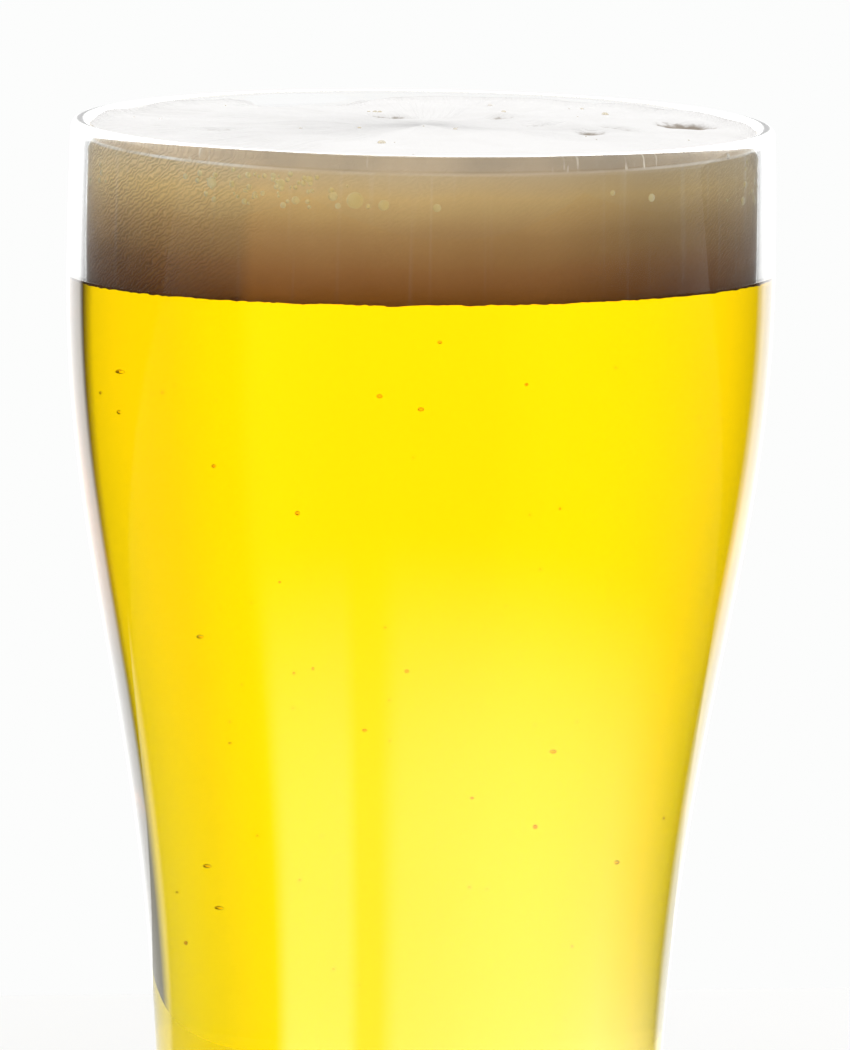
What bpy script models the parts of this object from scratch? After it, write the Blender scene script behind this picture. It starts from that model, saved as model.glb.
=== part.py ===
"""A pint of beer: a tulip-shaped pint glass, the beer in it and the foam head on top.

Metres, +Z up. The glass stands on z = 0 with its axis on the world Z axis.
The front of the picture is -Y and its right-hand side is +X.
"""

import math

import bmesh
import bpy
from mathutils import Vector

# Glass: outside
HEIGHT = 0.152
FOOT_RADIUS = 0.0320
FOOT_ROUNDING = 0.0022
FOOT_TOP = 0.0060
WAIST_RADIUS = 0.0314
WAIST_HEIGHT = 0.0140
WAIST_STIFFNESS = 0.0600
BELLY_RADIUS = 0.0442
BELLY_HEIGHT = 0.1330
BELLY_STIFFNESS = 0.0400
RIM_RADIUS = 0.04385

# Glass: wall, inside floor and underside
WALL_AT_RIM = 0.0021
WALL_AT_WAIST = 0.0030
FLOOR_HEIGHT = 0.0125
FLOOR_CORNER = 0.0100
FLOOR_SAG = 0.0008
RESTING_RING_INNER = 0.0255
RESTING_RING_OUTER = FOOT_RADIUS - FOOT_ROUNDING
UNDERSIDE_HOLLOW = 0.0030

# Filling
GAP = 0.0003
CUT_MARGIN = 0.0015
LEVEL = 0.13300
LEVEL_RISE_TO_FRONT = math.tan(math.radians(1.5))
LEVEL_RISE_TO_RIGHT = math.tan(math.radians(0.8))

# Foam head: how far its edge stays below the rim, and the relief of its top
EDGE_DROP = 0.00165
EDGE_DROP_TO_FRONT = 0.0160
DOME = 0.0011
LUMP_HEIGHT = 0.00022
LUMP_PITCH = 0.0170

# Hollows in the foam as the picture shows them: to the right, to the back, radius, depth
HOLLOWS = (
    (-0.0150, 0.0370, 0.0085, 0.0016),
    (-0.0040, 0.0125, 0.0027, 0.0011),
    (0.0150, 0.0060, 0.0019, 0.0008),
    (0.0210, -0.0010, 0.0018, 0.0008),
    (0.0247, 0.0050, 0.0024, 0.0011),
    (0.0330, 0.0140, 0.0034, 0.0016),
    (0.0095, 0.0120, 0.0018, 0.0006),
    (-0.0245, -0.0040, 0.0026, 0.0006),
)

# Fineness
SEGMENTS = 64
BODY_STEPS = 13
RIM_STEPS = 6
CORNER_STEPS = 6
FOOT_STEPS = 4
FOAM_RINGS = 22


def bezier(t, a, b, c, d):
    """Point at t on the cubic curve from a to d."""
    s = 1 - t
    return s ** 3 * a + 3 * s ** 2 * t * b + 3 * s * t ** 2 * c + t ** 3 * d


def body_point(t):
    """Radius and height on the outside of the body, waist at t = 0 and belly at t = 1."""
    radius = bezier(t, WAIST_RADIUS, WAIST_RADIUS, BELLY_RADIUS, BELLY_RADIUS)
    height = bezier(
        t,
        WAIST_HEIGHT,
        WAIST_HEIGHT + WAIST_STIFFNESS,
        BELLY_HEIGHT - BELLY_STIFFNESS,
        BELLY_HEIGHT,
    )
    return radius, height


def outer_radius(height):
    """Outside radius of the glass between foot and rim."""
    if height >= BELLY_HEIGHT:
        along = (height - BELLY_HEIGHT) / (HEIGHT - BELLY_HEIGHT)
        return BELLY_RADIUS + (RIM_RADIUS - BELLY_RADIUS) * along ** 2
    if height <= WAIST_HEIGHT:
        along = min(1.0, (WAIST_HEIGHT - height) / (WAIST_HEIGHT - FOOT_TOP))
        return WAIST_RADIUS + (FOOT_RADIUS - WAIST_RADIUS) * (1 - math.cos(math.pi * along)) / 2
    low, high = 0.0, 1.0
    for _ in range(40):
        middle = (low + high) / 2
        if body_point(middle)[1] < height:
            low = middle
        else:
            high = middle
    return body_point(low)[0]


def wall(height):
    """Thickness of the wall, which grows downwards."""
    along = min(1.0, max(0.0, (height - WAIST_HEIGHT) / (HEIGHT - WAIST_HEIGHT)))
    return WALL_AT_WAIST + (WALL_AT_RIM - WALL_AT_WAIST) * along


def inner_radius(height):
    """Inside radius of the glass at a height above the rounded floor corner."""
    return outer_radius(height) - wall(height)


def floor_profile(inset):
    """Inside floor from the axis out to the top of its rounded corner, moved inwards by inset."""
    top = FLOOR_HEIGHT + FLOOR_CORNER
    edge = inner_radius(top) - inset
    corner = FLOOR_CORNER - inset
    flat = edge - corner
    points = [(0.0, FLOOR_HEIGHT - FLOOR_SAG + inset)]
    points.append((flat * 0.6, FLOOR_HEIGHT - FLOOR_SAG * 0.6 + inset))
    for step in range(CORNER_STEPS + 1):
        angle = math.pi / 2 * step / CORNER_STEPS
        points.append((flat + corner * math.sin(angle), top - corner * math.cos(angle)))
    return points


def wall_heights(lowest, highest, steps):
    """Evenly spaced heights from the lowest to the highest."""
    return [lowest + (highest - lowest) * step / steps for step in range(steps + 1)]


def glass_profile():
    """Closed half section of the glass: underside, foot, outside, rim, inside, floor."""
    points = [(0.0, UNDERSIDE_HOLLOW)]
    for share in (0.45, 0.8):
        points.append((RESTING_RING_INNER * share, UNDERSIDE_HOLLOW * (1 - share ** 3)))
    points.append((RESTING_RING_INNER, 0.0))
    for step in range(FOOT_STEPS + 1):
        angle = math.pi / 2 * step / FOOT_STEPS
        points.append(
            (
                RESTING_RING_OUTER + FOOT_ROUNDING * math.sin(angle),
                FOOT_ROUNDING * (1 - math.cos(angle)),
            )
        )
    points.append((FOOT_RADIUS, FOOT_TOP))
    middle = (FOOT_TOP + WAIST_HEIGHT) / 2
    points.append((outer_radius(middle), middle))
    for step in range(BODY_STEPS + 1):
        points.append(body_point(step / BODY_STEPS))
    half_wall = WALL_AT_RIM / 2
    rim_start = HEIGHT - half_wall
    for height in wall_heights(BELLY_HEIGHT, rim_start, 2)[1:-1]:
        points.append((outer_radius(height), height))
    for step in range(RIM_STEPS + 1):
        angle = math.pi * step / RIM_STEPS
        middle_of_wall = outer_radius(rim_start) - half_wall
        points.append(
            (middle_of_wall + half_wall * math.cos(angle), rim_start + half_wall * math.sin(angle))
        )
    inside = floor_profile(0.0)
    for height in reversed(wall_heights(inside[-1][1], rim_start, BODY_STEPS)[1:-1]):
        points.append((inner_radius(height), height))
    points.extend(reversed(inside))
    return points


def foam_top(x, y):
    """Height of the foam's top: an edge a little below the rim, a low dome, lumps and hollows."""
    reach = inner_radius(HEIGHT - EDGE_DROP)
    share = min(1.0, math.hypot(x, y) / reach)
    height = HEIGHT - EDGE_DROP + EDGE_DROP_TO_FRONT * y + DOME * (1 - share ** 2)
    wave = 2 * math.pi / LUMP_PITCH
    height += LUMP_HEIGHT * math.sin(wave * x + 0.8) * math.sin(wave * 0.83 * y + 0.4)
    height += LUMP_HEIGHT * 0.7 * math.sin(wave * 0.61 * (x + y) + 2.0)
    for right, back, radius, depth in HOLLOWS:
        away = ((x - right) ** 2 + (y - back) ** 2) / radius ** 2
        height -= depth * math.exp(-away ** 2)
    return height


def turned(profile):
    """Closed body turned about the world Z axis from a half section that starts and ends on the axis."""
    body = bmesh.new()
    corners = [body.verts.new((radius, 0.0, height)) for radius, height in profile]
    edges = [body.edges.new(pair) for pair in zip(corners, corners[1:])]
    bmesh.ops.spin(
        body,
        geom=corners + edges,
        cent=(0.0, 0.0, 0.0),
        axis=(0.0, 0.0, 1.0),
        angle=2 * math.pi,
        steps=SEGMENTS,
    )
    bmesh.ops.remove_doubles(body, verts=body.verts, dist=0.000005)
    bmesh.ops.recalc_face_normals(body, faces=body.faces)
    return body


def cut_at_level(body, offset, keep_below):
    """Cuts the body along the beer's surface, moved up by offset, and closes the cut."""
    upwards = Vector((-LEVEL_RISE_TO_RIGHT, LEVEL_RISE_TO_FRONT, 1.0)).normalized()
    cut = bmesh.ops.bisect_plane(
        body,
        geom=body.verts[:] + body.edges[:] + body.faces[:],
        dist=0.000001,
        plane_co=(0.0, 0.0, LEVEL + offset),
        plane_no=upwards,
        clear_outer=keep_below,
        clear_inner=not keep_below,
    )
    rim = [item for item in cut["geom_cut"] if isinstance(item, bmesh.types.BMEdge)]
    bmesh.ops.edgeloop_fill(body, edges=rim)
    bmesh.ops.recalc_face_normals(body, faces=body.faces)


def level_range():
    """Lowest and highest height of the beer's surface at the wall."""
    reach = inner_radius(LEVEL) * math.hypot(LEVEL_RISE_TO_FRONT, LEVEL_RISE_TO_RIGHT)
    return LEVEL - reach, LEVEL + reach


def glass_body():
    """The glass."""
    return turned(glass_profile())


def beer_body():
    """The beer: it follows the inside of the glass up to its level."""
    lowest, highest = level_range()
    profile = floor_profile(GAP)
    for height in wall_heights(profile[-1][1], lowest - CUT_MARGIN, BODY_STEPS)[1:]:
        profile.append((inner_radius(height) - GAP, height))
    top = highest + CUT_MARGIN
    profile.append((inner_radius(top) - GAP, top))
    profile.append((0.0, top))
    body = turned(profile)
    cut_at_level(body, 0.0, True)
    return body


def foam_body():
    """The foam head: it stands on the beer, follows the wall and ends in an uneven top."""
    lowest, highest = level_range()
    top = HEIGHT - EDGE_DROP
    profile = [(0.0, lowest - CUT_MARGIN)]
    for height in (lowest - CUT_MARGIN, highest + CUT_MARGIN, (highest + CUT_MARGIN + top) / 2):
        profile.append((inner_radius(height) - GAP, height))
    edge = inner_radius(top) - GAP
    for step in range(FOAM_RINGS, -1, -1):
        profile.append((edge * step / FOAM_RINGS, top))
    body = turned(profile)
    for point in body.verts:
        if point.co.z > top - 0.000001:
            point.co.z = foam_top(point.co.x, point.co.y)
    cut_at_level(body, GAP, False)
    return body


def plain_material(name, colour, roughness, transmission, ior):
    """Material made of one Principled shader."""
    material = bpy.data.materials.new(name)
    material.use_nodes = True
    shader = material.node_tree.nodes["Principled BSDF"]
    shader.inputs["Base Color"].default_value = (*colour, 1.0)
    shader.inputs["Roughness"].default_value = roughness
    shader.inputs["Transmission Weight"].default_value = transmission
    shader.inputs["IOR"].default_value = ior
    return material


def add_node(name, body, material, sharp_degrees):
    """One named mesh object, shaded smooth with its real edges kept."""
    mesh = bpy.data.meshes.new(name)
    body.to_mesh(mesh)
    body.free()
    mesh.shade_smooth()
    mesh.set_sharp_from_angle(angle=math.radians(sharp_degrees))
    mesh.materials.append(material)
    node = bpy.data.objects.new(name, mesh)
    bpy.context.scene.collection.objects.link(node)
    return node


def main():
    """Clears the scene and builds the three nodes."""
    for item in list(bpy.data.objects):
        bpy.data.objects.remove(item)
    add_node("glass", glass_body(), plain_material("clear_glass", (1.0, 1.0, 1.0), 0.0, 1.0, 1.5), 40)
    add_node("beer", beer_body(), plain_material("beer", (1.0, 0.72, 0.02), 0.0, 0.6, 1.34), 50)
    add_node("foam", foam_body(), plain_material("foam", (0.93, 0.87, 0.74), 0.7, 0.0, 1.4), 60)


main()
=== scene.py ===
"""Looks of the pint of beer: clear tulip glass, golden beer with bubbles, foam head, table and light."""

import math
import random

import bmesh
import bpy
from bpy.props import FloatProperty, FloatVectorProperty, IntProperty, PointerProperty
from mathutils import Matrix, Vector, noise


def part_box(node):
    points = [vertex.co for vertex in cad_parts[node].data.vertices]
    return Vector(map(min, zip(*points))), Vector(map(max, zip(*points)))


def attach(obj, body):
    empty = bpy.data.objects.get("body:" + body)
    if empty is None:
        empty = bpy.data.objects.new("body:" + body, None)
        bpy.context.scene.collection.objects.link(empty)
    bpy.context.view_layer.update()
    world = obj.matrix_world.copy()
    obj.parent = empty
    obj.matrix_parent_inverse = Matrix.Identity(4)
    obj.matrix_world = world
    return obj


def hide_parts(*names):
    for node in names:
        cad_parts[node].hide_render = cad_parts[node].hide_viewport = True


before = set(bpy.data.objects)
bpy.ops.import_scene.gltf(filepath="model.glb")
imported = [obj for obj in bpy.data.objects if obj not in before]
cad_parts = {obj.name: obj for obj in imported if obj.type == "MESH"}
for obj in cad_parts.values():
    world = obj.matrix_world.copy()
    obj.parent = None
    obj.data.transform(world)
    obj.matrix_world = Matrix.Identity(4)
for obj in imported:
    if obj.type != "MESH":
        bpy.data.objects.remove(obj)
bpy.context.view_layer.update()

bl_info = {
    "name": "Pint of Beer",
    "version": (1, 0, 0),
    "blender": (4, 5, 0),
    "location": "View3D > Sidebar > Pint",
    "description": "Builds a tulip pint glass filled with golden beer under a foam head",
    "category": "Object",
}

# Glass, as built in the frame
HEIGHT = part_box("glass")[1][2]
FOOT_RADIUS = 0.0320
FOOT_ROUNDING = 0.0022
FOOT_TOP = 0.0060
WAIST_RADIUS = 0.0314
WAIST_HEIGHT = 0.0140
WAIST_STIFFNESS = 0.0600
BELLY_RADIUS = 0.0442
BELLY_HEIGHT = 0.1330
BELLY_STIFFNESS = 0.0400
RIM_RADIUS = 0.04385
WALL_AT_RIM = 0.0021
WALL_AT_WAIST = 0.0030
FLOOR_HEIGHT = 0.0125
FLOOR_CORNER = 0.0100
FLOOR_SAG = 0.0008
RESTING_RING_INNER = 0.0255
RESTING_RING_OUTER = FOOT_RADIUS - FOOT_ROUNDING
UNDERSIDE_HOLLOW = 0.0030

# Beer level and foam top, as built in the frame
LEVEL = 0.13300
LEVEL_RISE_TO_FRONT = math.tan(math.radians(1.5))
LEVEL_RISE_TO_RIGHT = math.tan(math.radians(0.8))
EDGE_DROP = 0.00165
EDGE_DROP_TO_FRONT = 0.0160
DOME = 0.0011
LUMP_HEIGHT = 0.00022
LUMP_PITCH = 0.0170
HOLLOWS = (
    (-0.0150, 0.0370, 0.0085, 0.0016),
    (-0.0040, 0.0125, 0.0027, 0.0011),
    (0.0150, 0.0060, 0.0019, 0.0008),
    (0.0210, -0.0010, 0.0018, 0.0008),
    (0.0247, 0.0050, 0.0024, 0.0011),
    (0.0330, 0.0140, 0.0034, 0.0016),
    (0.0095, 0.0120, 0.0018, 0.0006),
    (-0.0245, -0.0040, 0.0026, 0.0006),
)

# How the pieces meet
INTO_WALL = 0.00015
FOAM_CLEARANCE = 0.00012
FOAM_SINKS = 0.00035
TURNING_CORE = 0.001
SEAM_DISTANCE = 0.000001

# Pale glow painted into the rim: the glass there gives off light of its own, standing in for light caught in
# the rim; and the heights between which it comes up
PAINTED_RIM_GLOW = (0.70, 0.71, 0.70, 1.0)
GLOW_STARTS = HEIGHT - 0.030
GLOW_FULL = HEIGHT - 0.010
RIM_ZONE_STARTS = HEIGHT - 0.0030
RIM_ZONE_FULL = HEIGHT - 0.0012

# Camera of the picture
CAMERA_DISTANCE = 1.300
CAMERA_HEIGHT = 0.2772
CAMERA_PITCH = math.radians(7.708)
CAMERA_ROLL = math.radians(0.9)
CAMERA_ASIDE = 0.0010
CAMERA_LENS = 358.7

# Brightness of the panel behind, by degrees to the right of straight behind
PANEL_LIGHT = (
    (-180, 0.9), (-92, 0.9), (-84, 0.1), (-65, 0.2), (-50, 0.7), (-12, 1.0), (12, 1.0), (25, 0.8),
    (46, 0.75), (52, 0.05), (84, 0.05), (92, 0.9), (180, 0.9),
)
# Light that comes back out of the glass after a reflection inside it
INNER_LIGHT = (
    (-180, 0.5), (-150, 0.1), (-37, 0.1), (-31, 0.7), (31, 0.7), (37, 0.1), (150, 0.1), (180, 0.5),
)
INNER_LIGHT_IN_BEER = 0.10
# What the glass mirrors, by degrees to the right of straight in front
MIRRORED_PANEL = ((-180, 1), (-148, 1), (-144, 0), (142, 0), (150, 1), (180, 1))
MIRRORED_ROOM = ((-180, 0), (-60, 0), (-55, 1), (40, 1), (90, 0), (180, 0))
# Painted glow of the table for rays that the glass mirrors: far behind it, and near the glass in front, by
# degrees; and the distances over which the near glow fades
FLOOR_BEHIND = ((-180, 0.8), (-130, 0.8), (-126, 0), (138, 0), (146, 1.5), (180, 1.5))
FLOOR_BEFORE = (
    (-180, 0.3), (-90, 0), (-56, 0), (-50, 1.0), (-25, 1.0), (-20, 0.3), (-12, 0.3), (-5, 1.0),
    (85, 1.8), (135, 0.3), (180, 0),
)
FLOOR_NEAR = 0.140
FLOOR_FAR = 0.300

# Painted light and shade on the foam's side, by degrees to the right of straight in front: shaded right of
# the middle, lighter to the left
FOAM_PAINTED_LIGHT_AND_SHADE = (
    (-180, 1.0), (-90, 1.5), (-60, 1.1), (0, 1.0), (40, 0.7), (60, 0.8), (90, 1.1), (180, 1.0),
)
# Painted shade: the left side is darker low down, from one angle to the other
LOW_SHADE = 0.65
LOW_SHADE_STARTS = -25
LOW_SHADE_FULL = -60
# Painted light: the side is greyer and paler towards its left and right edges, with pale vertical streaks
# there
FOAM_GREYNESS = ((-180, 0.1), (-90, 0.4), (-50, 0.0), (50, 0.0), (90, 0.5), (180, 0.1))
# Where the side has ridges, by degrees; their slopes carry painted light and shade besides a bump
FOAM_RIDGES = ((-180, 0.3), (-90, 1.0), (-50, 0.9), (-25, 0.1), (40, 0.1), (80, 0.7), (180, 0.3))
# Painted highlight: a thin bright line where the foam's edge meets the wall, by degrees
FOAM_CONTACT_HIGHLIGHT = ((-180, 0.2), (-85, 1.0), (-45, 0.9), (-20, 0.1), (25, 0.1), (85, 1.0), (180, 0.2))

# Bubbles against the wall in the foam: degrees to the right, height under the rim, radius
WALL_BUBBLES = (
    (-11.0, 0.0057, 0.00105),
    (-6.2, 0.0062, 0.00070),
    (-37.0, 0.0046, 0.00075),
    (-23.8, 0.0041, 0.00060),
    (-21.1, 0.0060, 0.00055),
    (-18.8, 0.0034, 0.00050),
    (-14.7, 0.0053, 0.00060),
    (2.5, 0.0064, 0.00055),
    (33.0, 0.0049, 0.00040),
    (41.0, 0.0058, 0.00055),
)
SMALL_WALL_BUBBLES = 60
BUBBLE_GAP = 0.00005
BUBBLE_HALF_THICKNESS = 0.00020

# Table: how wide it is, how far it reaches to the front, and how far it is turned
TABLE_WIDTH = 4.0
TABLE_FRONT = 2.0
TABLE_THICKNESS = 0.03
TABLE_TURN = math.radians(8.0)


# Sizes and colours that a user would change

class PintGlassSettings(bpy.types.PropertyGroup):
    """Fineness and finish of the glass."""

    segments: IntProperty(name="Segments", description="Faces around the glass", default=256, min=32)
    steps: IntProperty(name="Steps", description="Faces up the wall", default=80, min=12)
    tint: FloatVectorProperty(
        name="Tint",
        description="Colour that the clear glass gives to light",
        default=(0.985, 0.99, 0.985),
        subtype="COLOR",
    )
    waviness: FloatProperty(
        name="Waviness", description="Strength of the faint waves in the wall", default=0.06, min=0.0
    )


class PintBeerSettings(bpy.types.PropertyGroup):
    """Colour and bubbles of the beer."""

    colour: FloatVectorProperty(
        name="Colour",
        description="Colour that the beer lets through",
        default=(0.986, 0.925, 0.02),
        subtype="COLOR",
    )
    density: FloatProperty(
        name="Density", description="How quickly the beer takes up light", default=110.0, min=0.0
    )
    # Painted shade: how dark the beer is painted low in the glass
    lower_shade: FloatProperty(
        name="Lower shade",
        description="Brightness low in the glass, with 1 at the top",
        default=0.78,
        min=0.0,
        max=1.0,
    )
    bubble_density: FloatProperty(
        name="Bubble density", description="Bubbles for each square metre of wall", default=2600.0
    )
    bubble_radius: FloatProperty(
        name="Largest bubble",
        description="Radius of the largest bubble in the beer",
        default=0.00029,
        unit="LENGTH",
        precision=5,
    )


class PintFoamSettings(bpy.types.PropertyGroup):
    """Colours and surface of the foam head."""

    top_colour: FloatVectorProperty(
        name="Top", description="Colour of the foam's top", default=(0.91, 0.90, 0.89), subtype="COLOR"
    )
    # Painted shade in the hollows on top
    pit_colour: FloatVectorProperty(
        name="Pits", description="Colour in the pits on top", default=(0.36, 0.31, 0.26), subtype="COLOR"
    )
    # The side's colours hold painted shade: they darken down the side, standing in for the shade the side is
    # in; part of the brown is the beer's own colour
    edge_colour: FloatVectorProperty(
        name="Side at its edge",
        description="Colour at the foam's upper edge",
        default=(0.64, 0.49, 0.27),
        subtype="COLOR",
    )
    upper_colour: FloatVectorProperty(
        name="Upper side",
        description="Colour high on the side",
        default=(0.68, 0.48, 0.20),
        subtype="COLOR",
    )
    middle_colour: FloatVectorProperty(
        name="Middle side", description="Colour halfway down", default=(0.42, 0.26, 0.10), subtype="COLOR"
    )
    low_colour: FloatVectorProperty(
        name="Low side", description="Colour low on the side", default=(0.28, 0.13, 0.04), subtype="COLOR"
    )
    bottom_colour: FloatVectorProperty(
        name="Bottom side",
        description="Colour just above the beer",
        default=(0.16, 0.05, 0.0),
        subtype="COLOR",
    )
    # The film's brown-grey colour holds painted shade
    film_colour: FloatVectorProperty(
        name="Film",
        description="Colour of the film on the wall above",
        default=(0.55, 0.41, 0.24),
        subtype="COLOR",
    )
    lip_height: FloatProperty(
        name="Lip",
        description="How high the film climbs the wall above the foam's edge",
        default=0.0019,
        unit="LENGTH",
        precision=5,
    )
    ragged: FloatProperty(
        name="Ragged edge",
        description="How uneven the foam's lower edge is",
        default=0.00016,
        unit="LENGTH",
        precision=5,
    )


class PintStageSettings(bpy.types.PropertyGroup):
    """Light, table and backdrop."""

    back_light: FloatProperty(
        name="Back light", description="Brightness of the panel behind the beer", default=1.85, min=0.0
    )
    mirrored_light: FloatProperty(
        name="Mirrored light",
        description="Brightness that the glass mirrors at its edges",
        default=1.9,
        min=0.0,
    )
    clear_light: FloatProperty(
        name="Clear light", description="Brightness seen through clear glass", default=0.95, min=0.0
    )
    soft_light: FloatProperty(
        name="Soft light", description="Brightness that falls on foam and table", default=1.05, min=0.0
    )
    # Also the colour of the warm glow painted into the table
    warm_light: FloatVectorProperty(
        name="Warm light",
        description="Warm light that the front of the glass mirrors",
        default=(1.45, 0.54, 0.06),
        subtype="COLOR",
        max=10.0,
    )
    foam_light: FloatProperty(
        name="Light on the foam's side",
        description="How much stronger soft light reaches the foam through the glass",
        default=1.6,
        min=0.0,
    )
    table_colour: FloatVectorProperty(
        name="Table", description="Colour of the table", default=(0.90, 0.90, 0.89), subtype="COLOR"
    )
    table_behind: FloatProperty(
        name="Table behind",
        description="How far the table reaches behind the glass",
        default=0.235,
        unit="LENGTH",
    )


# Shape of the glass

def bezier(t, a, b, c, d):
    """Point at t on the cubic curve from a to d."""
    s = 1 - t
    return s ** 3 * a + 3 * s ** 2 * t * b + 3 * s * t ** 2 * c + t ** 3 * d


def body_point(t):
    """Radius and height on the outside of the body, waist at t = 0 and belly at t = 1."""
    radius = bezier(t, WAIST_RADIUS, WAIST_RADIUS, BELLY_RADIUS, BELLY_RADIUS)
    height = bezier(
        t,
        WAIST_HEIGHT,
        WAIST_HEIGHT + WAIST_STIFFNESS,
        BELLY_HEIGHT - BELLY_STIFFNESS,
        BELLY_HEIGHT,
    )
    return radius, height


def outer_radius(height):
    """Outside radius of the glass between foot and rim."""
    if height >= BELLY_HEIGHT:
        along = (height - BELLY_HEIGHT) / (HEIGHT - BELLY_HEIGHT)
        return BELLY_RADIUS + (RIM_RADIUS - BELLY_RADIUS) * along ** 2
    if height <= WAIST_HEIGHT:
        along = min(1.0, (WAIST_HEIGHT - height) / (WAIST_HEIGHT - FOOT_TOP))
        return WAIST_RADIUS + (FOOT_RADIUS - WAIST_RADIUS) * (1 - math.cos(math.pi * along)) / 2
    low, high = 0.0, 1.0
    for _ in range(40):
        middle = (low + high) / 2
        if body_point(middle)[1] < height:
            low = middle
        else:
            high = middle
    return body_point(low)[0]


def wall(height):
    """Thickness of the wall, which grows downwards."""
    along = min(1.0, max(0.0, (height - WAIST_HEIGHT) / (HEIGHT - WAIST_HEIGHT)))
    return WALL_AT_WAIST + (WALL_AT_RIM - WALL_AT_WAIST) * along


def inner_radius(height):
    """Inside radius of the glass at a height above the rounded floor corner."""
    return outer_radius(height) - wall(height)


def floor_profile(outset, steps):
    """Inside floor from the axis out to the top of its rounded corner, moved outwards by outset."""
    top = FLOOR_HEIGHT + FLOOR_CORNER
    edge = inner_radius(top) + outset
    corner = FLOOR_CORNER + outset
    flat = edge - corner
    points = []
    for share in (0.0, 0.3, 0.6, 0.8):
        points.append((flat * share, FLOOR_HEIGHT - FLOOR_SAG * (1 - share ** 2) - outset))
    for step in range(steps + 1):
        angle = math.pi / 2 * step / steps
        points.append((flat + corner * math.sin(angle), top - corner * math.cos(angle)))
    return points


def heights(lowest, highest, steps):
    """Evenly spaced heights from the lowest to the highest."""
    return [lowest + (highest - lowest) * step / steps for step in range(steps + 1)]


def glass_profile(steps):
    """Half section of the glass: underside, foot, outside, rim, inside, floor."""
    points = []
    for share in (0.0, 0.2, 0.4, 0.6, 0.75, 0.87, 0.95):
        points.append((RESTING_RING_INNER * share, UNDERSIDE_HOLLOW * (1 - share ** 3)))
    points.append((RESTING_RING_INNER, 0.0))
    for step in range(11):
        angle = math.pi / 2 * step / 10
        points.append(
            (
                RESTING_RING_OUTER + FOOT_ROUNDING * math.sin(angle),
                FOOT_ROUNDING * (1 - math.cos(angle)),
            )
        )
    for height in heights(FOOT_TOP, WAIST_HEIGHT, 8)[:-1]:
        points.append((outer_radius(height), height))
    for step in range(steps + 1):
        points.append(body_point(step / steps))
    half_wall = WALL_AT_RIM / 2
    rim_start = HEIGHT - half_wall
    middle_of_wall = outer_radius(rim_start) - half_wall
    for height in heights(BELLY_HEIGHT, rim_start, 16)[1:-1]:
        points.append((outer_radius(height), height))
    for step in range(17):
        angle = math.pi * step / 16
        points.append(
            (middle_of_wall + half_wall * math.cos(angle), rim_start + half_wall * math.sin(angle))
        )
    inside = floor_profile(0.0, 16)
    for height in reversed(heights(inside[-1][1], rim_start, steps)[1:-1]):
        points.append((inner_radius(height), height))
    points.extend(reversed(inside))
    return points


def beer_profile(steps):
    """Half section of the beer, which reaches just into the wall."""
    points = floor_profile(INTO_WALL, 16)
    for height in heights(points[-1][1], LEVEL, steps)[1:]:
        points.append((inner_radius(height) + INTO_WALL, height))
    edge = points[-1][0]
    for step in range(11, -1, -1):
        points.append((edge * step / 12, LEVEL))
    return points


def level_at(x, y):
    """Height of the beer's surface, which stands a little higher to the front and the right."""
    return LEVEL - LEVEL_RISE_TO_FRONT * y + LEVEL_RISE_TO_RIGHT * x


def edge_at(y):
    """Height where the foam's top meets the wall."""
    return HEIGHT - EDGE_DROP + EDGE_DROP_TO_FRONT * y


def hollow_at(x, y, hollows=HOLLOWS):
    """Depth of the hollows at a place on the foam's top."""
    depth = 0.0
    for right, back, radius, deepest in hollows:
        ragged = 1 + 0.35 * noise.noise(Vector((x * 420, y * 420, 3.0)))
        away = ((x - right) ** 2 + (y - back) ** 2) / (radius * ragged) ** 2
        depth += deepest * math.exp(-away ** 2)
    return depth


def foam_top(x, y):
    """Height of the foam's top: an edge a little below the rim, a low dome, lumps and hollows."""
    reach = inner_radius(HEIGHT - EDGE_DROP)
    share = min(1.0, math.hypot(x, y) / reach)
    height = edge_at(y) + DOME * (1 - share ** 2)
    wave = 2 * math.pi / LUMP_PITCH
    height += LUMP_HEIGHT * math.sin(wave * x + 0.8) * math.sin(wave * 0.83 * y + 0.4)
    height += LUMP_HEIGHT * 0.7 * math.sin(wave * 0.61 * (x + y) + 2.0)
    return height - hollow_at(x, y)


# Node trees

def add_node(tree, kind, **settings):
    """A node of one kind with its settings."""
    made = tree.nodes.new(kind)
    for name, value in settings.items():
        setattr(made, name, value)
    return made


def feed(tree, socket, value):
    """Gives a socket a link or a plain value."""
    if isinstance(value, bpy.types.NodeSocket):
        tree.links.new(value, socket)
    elif value is not None:
        socket.default_value = value


def fed_node(tree, kind, inputs, **settings):
    """A node of one kind with its settings and what its named inputs get."""
    made = add_node(tree, kind, **settings)
    for name, value in inputs.items():
        feed(tree, made.inputs[name], value)
    return made


def maths(tree, operation, *values):
    """Output of a Math node."""
    made = add_node(tree, "ShaderNodeMath", operation=operation)
    for socket, value in zip(made.inputs, values):
        feed(tree, socket, value)
    return made.outputs[0]


def vector_maths(tree, operation, first, second=None, scale=None):
    """Output of a Vector Math node."""
    made = add_node(tree, "ShaderNodeVectorMath", operation=operation)
    feed(tree, made.inputs[0], first)
    feed(tree, made.inputs[1], second)
    if scale is not None:
        feed(tree, made.inputs["Scale"], scale)
    return made.outputs["Value" if operation in ("DOT_PRODUCT", "LENGTH") else "Vector"]


def spread(tree, value, low, high, out_low=0.0, out_high=1.0, smooth=True):
    """Output of a Map Range node, smooth or straight, and clamped."""
    values = {"Value": value, "From Min": low, "From Max": high, "To Min": out_low, "To Max": out_high}
    kind = "SMOOTHSTEP" if smooth else "LINEAR"
    return fed_node(tree, "ShaderNodeMapRange", values, interpolation_type=kind).outputs["Result"]


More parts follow.
